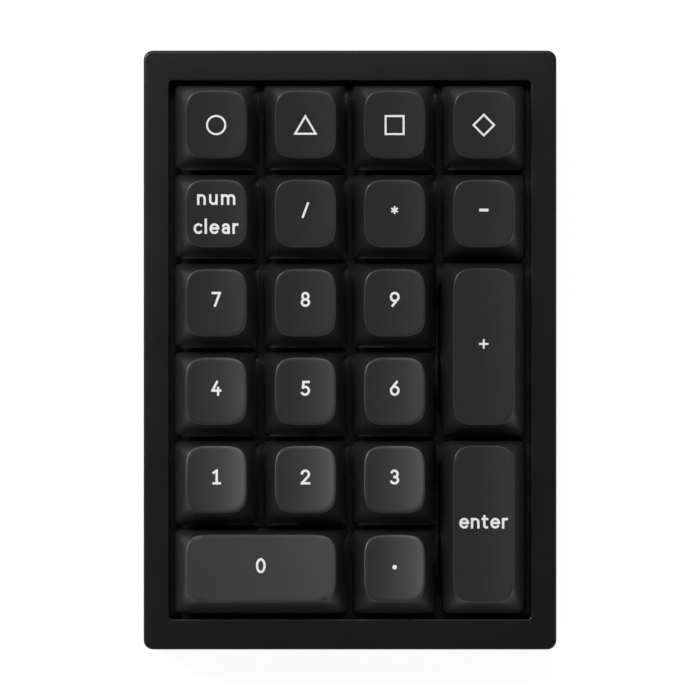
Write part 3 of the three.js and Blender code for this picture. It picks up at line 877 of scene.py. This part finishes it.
def black_oxide_steel():
    # A thin dark oxide over turned steel, worn a little brighter in small patches.
    # On the stabiliser wires its dark colour is also painted shade, for the shade in the
    # gaps between the caps.
    material, tree, shader, coords = material_with("black oxide steel", Metallic=1.0)
    patches = grain(tree, coords, 0.7, detail=5)
    dress(tree, shader, (patches, "#1c1c1e", "#37373a"), (patches, 0.3, 0.5))
    return material


oxide = black_oxide_steel()
for key, turn in DOUBLE_KEYS.items():
    low, high = deck_box(f"switch_{key}")
    place = deck_at((low.x + high.x) / 2, (low.y + high.y) / 2) @ Matrix.Rotation(math.radians(turn), 4, "Z")
    # The wire's dark steel is partly painted shade, for the shade in the gaps between the caps.
    wire = finish_piece(stabiliser_wire(), f"wire_{key}", oxide, place)
    ride(wire, f"wire_{key}", [f"stabiliser_wire_{key}"])
    for side, end in ((-1, "a"), (1, "b")):
        name = f"stabiliser_housing_{key}_{end}"
        housing = finish_piece(stabiliser_housing(side), name, black_nylon, place)
        ride(housing, "case")

# ---------------------------------------------------------------------------
# Top case: a frame milled from aluminium, bead-blasted and anodised as one set
# with the bottom case. Its inner ledge presses the gasket on the switch plate.
# ---------------------------------------------------------------------------
OPENING_WIDTH = 77.6
OPENING_DEPTH = 115.5
OPENING_CORNER = 0.8
OPENING_EDGE = 0.2
LEDGE = 1.9
CAVITY_WIDTH = 83.6
CAVITY_DEPTH = 123.4
SCREW_TIP = 4.0

bm = bmesh.new()
opening = rounded_outline(OPENING_WIDTH, OPENING_DEPTH, OPENING_CORNER)
cavity = rounded_outline(CAVITY_WIDTH, CAVITY_DEPTH, 2.0)
loops = tube_through(bm, [
    at_height(outline, PARTING + SEAM),
    at_height(outline, BEZEL_TOP),
    at_height(opening, BEZEL_TOP),
    at_height(opening, LEDGE),
    at_height(cavity, LEDGE),
    at_height(cavity, PARTING + SEAM),
])
bevel(bm, loops[1], CASE_EDGE, 3)
bevel(bm, loops[2], OPENING_EDGE, 2)
top_case = finish_piece(bm, "top_case_frame", anodised)
cut(top_case, [cutter(circle(SCREW_SHANK + 0.1, x, y, 16), PARTING - 1, SCREW_TIP + 0.5)
               for x, y in SCREW_PLACES.values()])
ride(top_case, "case", ["top_case"])

# ---------------------------------------------------------------------------
# Case screws: black oxide steel, hexagon socket, driven up from underneath.
# ---------------------------------------------------------------------------
HEAD_HEIGHT = 1.6
HEX_RADIUS = 0.85
HEX_DEPTH = 0.9
THREAD_PITCH = 0.45
THREAD_DEPTH = 0.14
THREAD_START = -3.0

for name, (x, y) in SCREW_PLACES.items():
    bm = bmesh.new()
    head_top = SCREW_SEAT - 0.05
    head_foot = head_top - HEAD_HEIGHT
    hexagon = []
    for corner in range(6):
        a, b = (math.radians(60 * (corner + i)) for i in range(2))
        start, end = Vector((math.cos(a), math.sin(a))), Vector((math.cos(b), math.sin(b)))
        hexagon += [tuple(start.lerp(end, i / 4) * HEX_RADIUS) for i in range(4)]
    profile = [(SCREW_HEAD, head_foot), (SCREW_HEAD, head_top), (SCREW_SHANK, head_top)]
    height = THREAD_START
    while height < SCREW_TIP - THREAD_PITCH:
        profile += [(SCREW_SHANK, height), (SCREW_SHANK - THREAD_DEPTH, height + THREAD_PITCH / 2)]
        height += THREAD_PITCH
    profile.append((SCREW_SHANK - 0.3, SCREW_TIP))
    loops = stack(bm, [(hexagon, head_foot + HEX_DEPTH), (hexagon, head_foot)]
                  + [(circle(radius, steps=24), z) for radius, z in profile])
    bevel(bm, loops[2], 0.15, 2)
    ride(finish_piece(bm, f"screw_{name}", oxide, deck_at(x, y), angle=30), "case",
         [f"case_screw_{name}"])

# ---------------------------------------------------------------------------
# Keycaps: thick-walled caps moulded in matt PBT, with a squircle top, a shallow
# trough for the fingertip and a post underneath that presses on the switch.
# ---------------------------------------------------------------------------
KEY_FIELD_REAR = 3 * PITCH
CAP_RIM = 6.2
CAP_TOP_WIDTH = 13.0
CAP_TOP_DEPTH = 14.4
CAP_TOP_CORNER = 3.3
CAP_BASE_CORNER = 1.0
CAP_WALL = 1.3
CAP_ROOF = 1.7
CAP_EDGE = 0.2
SKIRT_BOW = 0.12
SKIRT_RINGS = 6
DISH_DEPTH = 0.55
SQUIRCLE_POWER = 4
CAP_SIDE_STEPS = 14
CAP_CORNER_STEPS = 12
POST_RADIUS = 2.75
POST_BORE = 2.1
POST_BORE_TOP = 10.8
STEM_ALONG = 2.4
STEM_ACROSS = 3.0
STEM_FOOT = 1.2

# Height of the middle of the top above the rim, its lean towards the person typing
# in degrees, and how far it sits behind the middle of the base.
ROW_TOPS = [
    (10.2, 6.0, 0.55),
    (9.8, 5.0, 0.6),
    (9.2, 2.5, 0.6),
    (9.0, -1.0, 0.75),
    (9.2, -4.0, 0.95),
    (9.4, -5.0, 1.0),
]
TALL_TOPS = {"add": (9.5, 4.0, 0.7), "enter": (9.2, 1.5, 0.95)}


class Cap:
    """Where a keycap is on the deck, and the shape of its top."""

    def __init__(self, name):
        self.name = name
        low, high = deck_box(f"keycap_{name}")
        self.x, self.y = (low.x + high.x) / 2, (low.y + high.y) / 2
        self.width, self.depth = high.x - low.x, high.y - low.y
        self.extra_width = PITCH * round(self.width / PITCH - 1)
        self.extra_depth = PITCH * round(self.depth / PITCH - 1)
        row = round((KEY_FIELD_REAR - self.y - self.extra_depth / 2) / PITCH - 0.5)
        self.height, lean, self.shift = TALL_TOPS.get(name, ROW_TOPS[row])
        self.slope = math.tan(math.radians(lean))
        self.half_width = (CAP_TOP_WIDTH + self.extra_width) / 2

    def surface(self, x, y):
        """Height of the dished top over a point measured from the key's centre."""
        trough = DISH_DEPTH * (1 - min(abs(x) / self.half_width, 1.0) ** 2)
        return CAP_RIM + self.height + self.slope * (y - self.shift) - trough


caps = [Cap(name[len("keycap_"):]) for name in frame["nodes"] if name.startswith("keycap_")]


def squircle(cap, x, y):
    """Moves a point of the rounded rectangle onto the cap's bulging outline."""
    over_x = max(abs(x) - cap.extra_width / 2, 0) / (CAP_TOP_WIDTH / 2)
    over_y = max(abs(y) - cap.extra_depth / 2, 0) / (CAP_TOP_DEPTH / 2)
    stretch = (over_x ** SQUIRCLE_POWER + over_y ** SQUIRCLE_POWER) ** (-1 / SQUIRCLE_POWER)
    bulged = []
    for value, over, half, extra in ((x, over_x, CAP_TOP_WIDTH / 2, cap.extra_width),
                                     (y, over_y, CAP_TOP_DEPTH / 2, cap.extra_depth)):
        bulged.append(math.copysign(extra / 2 + over * half * stretch, value) if over else value)
    return bulged


def cap_outlines(cap):
    steps = {"corner_steps": CAP_CORNER_STEPS, "side_steps": CAP_SIDE_STEPS}
    base = rounded_outline(cap.width, cap.depth, CAP_BASE_CORNER, **steps)
    plain = rounded_outline(CAP_TOP_WIDTH + cap.extra_width, CAP_TOP_DEPTH + cap.extra_depth,
                            CAP_TOP_CORNER, **steps)
    top = [squircle(cap, x, y) for x, y in plain]
    return base, [(x, y + cap.shift) for x, y in top]


def skirt_ring(cap, base, top, part):
    """The skirt's outline at a part of its height, bowed out a little between."""
    bow = 1 + SKIRT_BOW * 4 * part * (1 - part) / (CAP_TOP_WIDTH / 2)
    ring = []
    for (bx, by), (tx, ty) in zip(base, top):
        z = CAP_RIM + (cap.surface(tx, ty) - CAP_RIM) * part
        ring.append(((bx + (tx - bx) * part) * bow, (by + (ty - by) * part) * bow, z))
    return ring


def shrink(points, share, shift=0.0):
    return [(x * share, (y - shift) * share + shift) for x, y in points]


def keycap_mesh(cap):
    base, top = cap_outlines(cap)
    bm = bmesh.new()
    roof_share = 1 - 2 * CAP_WALL / CAP_TOP_WIDTH
    inner_top = shrink(top, roof_share, cap.shift)
    inner_base = rounded_outline(cap.width - 2 * CAP_WALL, cap.depth - 2 * CAP_WALL, CAP_BASE_CORNER / 2,
                                 CAP_CORNER_STEPS, CAP_SIDE_STEPS)
    roof = CAP_RIM + cap.height - DISH_DEPTH - CAP_ROOF
    ceiling = [(x, y, roof + cap.slope * y) for x, y in inner_top]
    rings = [ceiling, at_height(inner_base, CAP_RIM), at_height(base, CAP_RIM)]
    rings += [skirt_ring(cap, base, top, step / SKIRT_RINGS) for step in range(1, SKIRT_RINGS + 1)]
    rings += [at_height(shrink(top, share, cap.shift), cap.surface)
              for share in (0.9, 0.75, 0.6, 0.45, 0.3, 0.15, 0.05)]
    loops = solid_through(bm, rings)
    bevel(bm, loops[2 + SKIRT_RINGS], CAP_EDGE, 3)
    bevel(bm, loops[2], 0.12, 2)
    post_top = roof + CAP_ROOF / 2
    post_foot = SHOULDER + 0.05
    turned(bm, 32, [(POST_RADIUS, post_top), (POST_RADIUS, post_foot), (POST_BORE, post_foot),
                    (POST_BORE, POST_BORE_TOP)])
    if cap.name in DOUBLE_KEYS:
        turn = math.radians(DOUBLE_KEYS[cap.name])
        rise = STEM_OFFSET * cap.slope * math.sin(turn)
        stabiliser_stem(bm, -1, post_top - rise, turn)
        stabiliser_stem(bm, 1, post_top + rise, turn)
    return bm


def stabiliser_stem(bm, side, top, turn):
    """A stem with the notch, open to the outside, that the wire's hook lies in."""
    inner, outer = STEM_OFFSET - STEM_ALONG / 2, STEM_OFFSET + STEM_ALONG / 2
    hook = WIRE_PIVOT + WIRE_LIFT
    reach = WIRE_RADIUS + 0.3
    notch = STEM_OFFSET + 0.1
    profile = [(inner, STEM_FOOT), (outer, STEM_FOOT), (outer, hook - reach), (notch, hook - reach),
               (notch, hook + reach), (outer, hook + reach), (outer, top), (inner, top)]
    before = set(bm.verts)
    half = STEM_ACROSS / 2
    solid_through(bm, [[(side * x, y, z) for x, z in profile] for y in (-half, half)])
    made = [v for v in bm.verts if v not in before]
    bmesh.ops.transform(bm, matrix=Matrix.Rotation(turn, 4, "Z"), verts=made)


def moulded_pbt():
    # PBT shrinks in the mould to a dry, slightly grainy surface, dull and even.
    # The grain is drawn at 0.3 mm, coarser than real, so that it shows at all.
    material, tree, shader, coords = material_with("moulded matt pbt", IOR=1.5)
    texture = grain(tree, coords, 0.3, detail=3)
    cloud = grain(tree, coords, 4)
    dress(tree, shader, (texture, "#1f1f20", "#242425"), (cloud, 0.32, 0.34), (texture, 0.012, 0.3))
    return material


pbt = moulded_pbt()
for cap in caps:
    piece = finish_piece(keycap_mesh(cap), f"cap_{cap.name}", pbt, deck_at(cap.x, cap.y), angle=50)
    ride(piece, f"key_{cap.name}", [f"keycap_{cap.name}"])

# ---------------------------------------------------------------------------
# Legends: pale plastic moulded through the cap, flush with the trough. Each is
# drawn as pen strokes with blunt ends, in mm, y up, from the left of its baseline.
# ---------------------------------------------------------------------------
PEN = 0.5
SYMBOL_PEN = 0.42
LEGEND_PROUD = 0.02
LEGEND_SUNK = 0.15
STROKE_STEP = 0.002
STROKE_PIECE = 0.6


def arc(cx, cy, rx, ry, start, end):
    """Points along part of an ellipse, from one angle to another in degrees."""
    steps = max(4, round(abs(end - start) / 12))
    angles = [math.radians(start + (end - start) * i / steps) for i in range(steps + 1)]
    return [(cx + rx * math.cos(a), cy + ry * math.sin(a)) for a in angles]


def lines(*corners):
    """One straight stroke between each corner and the next."""
    return [list(pair) for pair in zip(corners, corners[1:])]


def moved(strokes, dx, dy=0.0):
    return [[(x + dx, y + dy) for x, y in stroke] for stroke in strokes]


SIX = lines((1.3, 2.7), (0.13, 1.25)) + [arc(0.85, 0.85, 0.8, 0.85, 0, 360)]
GLYPHS = {
    "0": (1.6, [arc(0.8, 1.35, 0.8, 1.35, 0, 360)]),
    "1": (1.5, lines((0.2, 2.25), (0.85, 2.7), (0.85, 0)) + lines((0.2, 0), (1.5, 0))),
    "2": (1.6, [arc(0.8, 1.95, 0.75, 0.75, 165, -35) + [(0.05, 0)]] + lines((0.05, 0), (1.6, 0))),
    "3": (1.5, [arc(0.72, 2.02, 0.65, 0.68, 150, -90), arc(0.72, 0.67, 0.76, 0.67, 90, -150)]),
    "4": (1.7, lines((1.0, 2.7), (0.05, 0.85), (1.7, 0.85)) + lines((1.25, 1.4), (1.25, 0))),
    "5": (1.6, lines((1.5, 2.7), (0.4, 2.7), (0.28, 1.5)) + [arc(0.72, 0.83, 0.82, 0.83, 122, -140)]),
    "6": (1.65, SIX),
    "7": (1.7, lines((0.1, 2.7), (1.6, 2.7), (0.6, 0))),
    "8": (1.6, [arc(0.8, 2.02, 0.62, 0.68, 0, 360), arc(0.8, 0.67, 0.78, 0.67, 0, 360)]),
    "9": (1.65, [[(1.7 - x, 2.7 - y) for x, y in stroke] for stroke in SIX]),
    "n": (1.35, lines((0, 0), (0, 1.8)) + [arc(0.675, 1.1, 0.675, 0.7, 180, 0) + [(1.35, 0)]]),
    "u": (1.35, [[(0, 1.8)] + arc(0.675, 0.7, 0.675, 0.7, 180, 360)] + lines((1.35, 1.8), (1.35, 0))),
    "m": (2.55, lines((0, 0), (0, 1.8)) + [arc(0.64, 1.15, 0.64, 0.65, 180, 0) + [(1.28, 0)],
                                            arc(1.92, 1.15, 0.64, 0.65, 180, 0) + [(2.56, 0)]]),
    "c": (1.3, [arc(0.8, 0.9, 0.8, 0.9, 50, 310)]),
    "l": (0.0, lines((0, 0), (0, 2.8))),
    "e": (1.55, lines((0.05, 0.95), (1.55, 0.95)) + [arc(0.8, 0.9, 0.8, 0.9, 3, 315)]),
    "a": (1.25, [arc(0.62, 1.15, 0.63, 0.65, 150, 0) + [(1.25, 0)], arc(0.62, 0.5, 0.6, 0.5, 0, 360)]),
    "r": (0.85, lines((0, 0), (0, 1.8)) + [arc(0.62, 1.1, 0.62, 0.7, 180, 75)]),
    "t": (0.95, [[(0.35, 2.4), (0.35, 0.5)] + arc(0.78, 0.42, 0.43, 0.42, 180, 285)]
          + lines((0.0, 1.8), (0.95, 1.8))),
    "/": (1.1, lines((0, 0), (1.1, 2.9))),
}
# The top row's shapes. The first and last point of each meet.
SYMBOLS = {
    "circle": arc(0, 0, 1.95, 1.95, 0, 360),
    "triangle": [(-2.2, -1.85), (2.2, -1.85), (0, 1.9), (-2.2, -1.85)],
    "square": [(-1.92, -1.92), (1.92, -1.92), (1.92, 1.92), (-1.92, 1.92), (-1.92, -1.92)],
    "diamond": [(-2.2, 0), (0, -2.2), (2.2, 0), (0, 2.2), (-2.2, 0)],
}


def spokes(count, arm):
    """Short strokes through one middle, the first upright."""
    angles = [math.radians(90 + 180 * i / count) for i in range(count)]
    tips = [(arm * math.cos(a), arm * math.sin(a)) for a in angles]
    return [[(x, y), (-x, -y)] for x, y in tips]


def word(text, gap, middle_y=None, baseline=None):
    """The strokes of a word, centred across the key."""
    strokes, x = [], 0.0
    for letter in text:
        width, shape = GLYPHS[letter]
        strokes += moved(shape, x)
        x += width + gap
    tall = max(py for stroke in strokes for px, py in stroke)
    y = baseline if baseline is not None else middle_y - tall / 2
    return moved(strokes, -(x - gap) / 2, y)


LEGENDS = {
    "num_clear": (PEN, word("num", 1.2, baseline=2.65) + word("clear", 1.05, baseline=-3.55)),
    "divide": (0.45, word("/", 0, middle_y=1.3)),
    "multiply": (0.36, moved(spokes(3, 0.65), 0, 1.3)),
    "subtract": (0.6, moved(lines((-0.7, 0), (0.7, 0)), 0, 1.3)),
    "add": (0.42, moved(lines((-0.8, 0), (0.8, 0)) + lines((0, -0.8), (0, 0.8)), 0, 1.3)),
    "enter": (PEN, word("enter", 0.93, baseline=0.2)),
    "point": (0.39, moved(spokes(4, 0.28), 0, 1.25)),
}
for name, shape in SYMBOLS.items():
    LEGENDS[name] = (SYMBOL_PEN, moved([shape], 0, 0.4))
# The numerals sit a little further back from row to row.
for digits, level in (("789", 1.3), ("456", 1.35), ("123", 1.45), ("0", 1.55)):
    for digit in digits:
        LEGENDS[digit] = (PEN, word(digit, 0, middle_y=level))


def pen_stations(stroke, pen):
    """Middle, sideways direction and half width of the stroke, step by step, ends blunt."""
    points = [Vector(stroke[0])]
    for corner in stroke[1:]:
        start = points[-1].copy()
        pieces = max(1, math.ceil((Vector(corner) - start).length / STROKE_PIECE))
        points += [start.lerp(Vector(corner), i / pieces) for i in range(1, pieces + 1)]
    closed = len(points) > 2 and (points[0] - points[-1]).length < 1e-6
    if closed:
        points.pop()
    last = len(points) - 1
    stations = []
    for i, point in enumerate(points):
        ahead = (points[(i + 1) % len(points)] - point).normalized()
        arriving = (point - points[i - 1]).normalized() if closed or i else ahead
        leaving = ahead if closed or i < last else arriving
        along = (arriving + leaving).normalized()
        mitre = 1 / max(along.dot(leaving), 0.4)
        stations.append((point, Vector((-along.y, along.x)), pen / 2 * mitre))
    if not closed:
        for at_start in (True, False):
            middle, sideways, half = stations[0] if at_start else stations[-1]
            outwards = Vector((-sideways.y, sideways.x)) if at_start else Vector((sideways.y, -sideways.x))
            blunt_end = [(middle + outwards * half * reach, sideways, half * width)
                         for reach, width in ((0.75, 1.0), (0.93, 0.93), (1.0, 0.75))]
            stations = blunt_end[::-1] + stations if at_start else stations + blunt_end
    return stations, closed


def draw_stroke(bm, cap, stroke, pen, lift):
    stations, closed = pen_stations(stroke, pen)
    rings = []
    for middle, sideways, half in stations:
        left, right = middle + sideways * half, middle - sideways * half
        section = []
        for point, rise in ((left, lift), (right, lift), (right, -LEGEND_SUNK), (left, -LEGEND_SUNK)):
            section.append((point.x, point.y, cap.surface(point.x, point.y) + rise))
        rings.append(section)
    (tube_through if closed else solid_through)(bm, rings)


def moulded_legend():
    # The second shot of pale plastic has the same dry grain as the cap round it.
    material, tree, shader, coords = material_with("pale legend plastic", IOR=1.5)
    texture = grain(tree, coords, 0.3, detail=3)
    dress(tree, shader, (texture, "#d6d6d6", "#dedede"), (texture, 0.48, 0.6))
    return material


pale = moulded_legend()
for cap in caps:
    pen, strokes = LEGENDS[cap.name]
    bm = bmesh.new()
    for number, stroke in enumerate(strokes):
        draw_stroke(bm, cap, stroke, pen, LEGEND_PROUD + STROKE_STEP * number)
    piece = finish_piece(bm, f"legend_{cap.name}", pale, deck_at(cap.x, cap.y))
    ride(piece, f"key_{cap.name}")

# ---------------------------------------------------------------------------
# Stage: pale floor, a surround that is bright low down and dim overhead, and four
# soft lights: two from the left, one from behind and a weak one from the front right.
# ---------------------------------------------------------------------------
FLOOR_LIT = 0.45
FLOOR_SEEN = 0.9


def studio_floor():
    material, tree, shader, coords = material_with("pale studio floor", Roughness=0.9)
    shader.inputs["Base Color"].default_value = paint("#8c8c8c")
    shader.inputs["Emission Color"].default_value = paint("#ffffff")
    rays = node(tree, "ShaderNodeLightPath")
    glow = node(tree, "ShaderNodeMapRange", {
        "Value": rays.outputs["Is Camera Ray"],
        "To Min": FLOOR_LIT,
        "To Max": FLOOR_SEEN,
    })
    tree.links.new(glow.outputs["Result"], shader.inputs["Emission Strength"])
    return material


bm = bmesh.new()
bmesh.ops.create_grid(bm, x_segments=1, y_segments=1, size=15)
floor_mesh = bpy.data.meshes.new("studio_floor")
bm.to_mesh(floor_mesh)
bm.free()
studio = bpy.data.objects.new("studio_floor", floor_mesh)
bpy.context.scene.collection.objects.link(studio)
floor_mesh.materials.append(studio_floor())

SKY_LOW = 1.0
SKY_HIGH = 0.04
SKY_LOW_END = 0.3
SKY_HIGH_START = 0.65
world = bpy.data.worlds.new("studio")
world.use_nodes = True
bpy.context.scene.world = world
tree = world.node_tree
upwards = node(tree, "ShaderNodeSeparateXYZ", {0: node(tree, "ShaderNodeTexCoord").outputs["Generated"]})
level = node(tree, "ShaderNodeMapRange", {
    "Value": upwards.outputs["Z"],
    "From Min": SKY_LOW_END,
    "From Max": SKY_HIGH_START,
    "To Min": SKY_LOW,
    "To Max": SKY_HIGH,
})
seen = node(tree, "ShaderNodeBackground", {"Color": paint("#ffffff"), "Strength": 1.0})
lit = node(tree, "ShaderNodeBackground", {"Color": paint("#ffffff"), "Strength": level.outputs["Result"]})
rays = node(tree, "ShaderNodeLightPath")
surround = node(tree, "ShaderNodeMixShader", {"Fac": rays.outputs["Is Camera Ray"]})
tree.links.new(lit.outputs[0], surround.inputs[1])
tree.links.new(seen.outputs[0], surround.inputs[2])
tree.links.new(surround.outputs[0], tree.nodes["World Output"].inputs["Surface"])


def softbox(name, aim_from, size, power):
    """A square soft light that looks at the middle of the pad."""
    data = bpy.data.lights.new(name, "AREA")
    data.shape = "SQUARE"
    data.size = size
    data.energy = power
    lamp = bpy.data.objects.new(name, data)
    lamp.location = Vector(aim_from)
    lamp.rotation_euler = (deck_origin - lamp.location).to_track_quat("-Z", "Y").to_euler()
    bpy.context.scene.collection.objects.link(lamp)


softbox("left_softbox", (-0.6, 0.42, 1.25), 0.45, 12.6)
softbox("rear_softbox", (0.0, 0.5, 1.35), 0.45, 3.1)
softbox("side_softbox", (-0.95, 0.55, 0.85), 0.6, 5)
softbox("fill_softbox", (0.8, -0.75, 0.9), 0.6, 2)
bpy.context.scene.view_settings.view_transform = "Standard"
